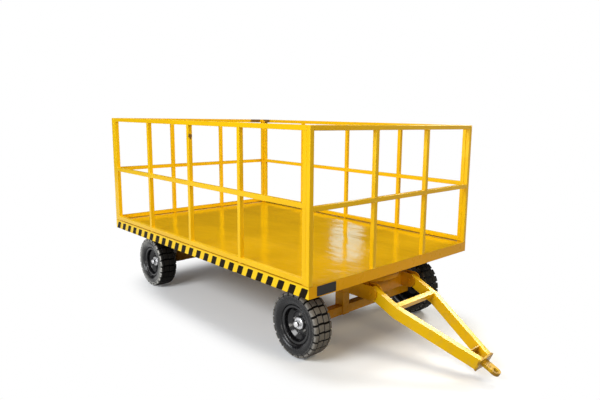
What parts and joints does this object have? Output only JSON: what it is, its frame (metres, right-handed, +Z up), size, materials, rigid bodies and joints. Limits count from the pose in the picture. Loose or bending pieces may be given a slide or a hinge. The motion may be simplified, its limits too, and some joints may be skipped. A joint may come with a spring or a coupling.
{
  "type": "airport baggage trailer",
  "caption": "Four-wheel airport baggage trailer: flat deck with a tube fence all round, steered front bogie on a turntable and lifting A-frame drawbar with a tow eye.",
  "frame": {"origin": "middle of the bounding box at ground level, with the trailer standing on its four wheels", "axes": "+X forward towards the tow eye, +Y to the left, +Z up"},
  "size_m": [3.312, 1.62, 1.453],
  "materials": {
    "yellow_paint": "gloss",
    "deck_yellow": "gloss",
    "striped_band": "gloss",
    "tyre_rubber": "matte",
    "black_paint": "satin",
    "bright_steel": "satin"
  },
  "bodies": {
    "chassis": {"deck_sheet": "deck_yellow", "left_side_channel": "striped_band", "right_side_channel": "striped_band", "front_beam": "yellow_paint", "rear_beam": "yellow_paint", "cross_members": "yellow_paint", "turntable_longerons": "yellow_paint", "front_corner_posts": "yellow_paint", "rear_corner_posts": "yellow_paint", "left_fence_rails": "yellow_paint", "left_fence_posts": "yellow_paint", "right_fence_rails": "yellow_paint", "right_fence_posts": "yellow_paint", "front_fence_rails": "yellow_paint", "front_fence_posts": "yellow_paint", "rear_fence_rails": "yellow_paint", "rear_fence_posts": "yellow_paint", "upper_turntable_ring": "yellow_paint", "rear_axle": "yellow_paint", "rear_axle_legs": "yellow_paint", "rear_bearers": "yellow_paint", "rear_hitch": "yellow_paint"},
    "bogie": {"lower_turntable_ring": "yellow_paint", "bogie_side_members": "yellow_paint", "bogie_cross_members": "yellow_paint", "bogie_legs": "yellow_paint", "front_axle": "yellow_paint", "drawbar_lugs": "yellow_paint"},
    "drawbar": {"left_drawbar_arm": "yellow_paint", "right_drawbar_arm": "yellow_paint", "drawbar_pins": "bright_steel", "drawbar_crossbar": "yellow_paint", "drawbar_brace": "yellow_paint", "drawbar_end_plate": "yellow_paint", "drawbar_tongue": "yellow_paint"},
    "front_left_wheel": {"front_left_tyre": "tyre_rubber", "front_left_rim": "black_paint", "front_left_hub_cap": "bright_steel"},
    "front_right_wheel": {"front_right_tyre": "tyre_rubber", "front_right_rim": "black_paint", "front_right_hub_cap": "bright_steel"},
    "rear_left_wheel": {"rear_left_tyre": "tyre_rubber", "rear_left_rim": "black_paint", "rear_left_hub_cap": "bright_steel"},
    "rear_right_wheel": {"rear_right_tyre": "tyre_rubber", "rear_right_rim": "black_paint", "rear_right_hub_cap": "bright_steel"}
  },
  "joints": [
    {"name": "bogie_steer", "type": "hinge", "parent": "chassis", "child": "bogie", "pos_m": [0.59402, 0, 0.442], "axis": [0, 0, 1], "range_deg": [-90, 90]},
    {"name": "drawbar_lift", "type": "hinge", "parent": "bogie", "child": "drawbar", "pos_m": [0.86602, 0, 0.395], "axis": [0, -1, 0], "range_deg": [0, 29]},
    {"name": "front_left_spin", "type": "hinge", "parent": "bogie", "child": "front_left_wheel", "pos_m": [0.59402, 0.574, 0.2125], "axis": [0, 1, 0], "continuous": true},
    {"name": "front_right_spin", "type": "hinge", "parent": "bogie", "child": "front_right_wheel", "pos_m": [0.59402, -0.574, 0.2125], "axis": [0, 1, 0], "continuous": true},
    {"name": "rear_left_spin", "type": "hinge", "parent": "chassis", "child": "rear_left_wheel", "pos_m": [-1.31298, 0.574, 0.2125], "axis": [0, 1, 0], "continuous": true},
    {"name": "rear_right_spin", "type": "hinge", "parent": "chassis", "child": "rear_right_wheel", "pos_m": [-1.31298, -0.574, 0.2125], "axis": [0, 1, 0], "continuous": true}
  ]
}
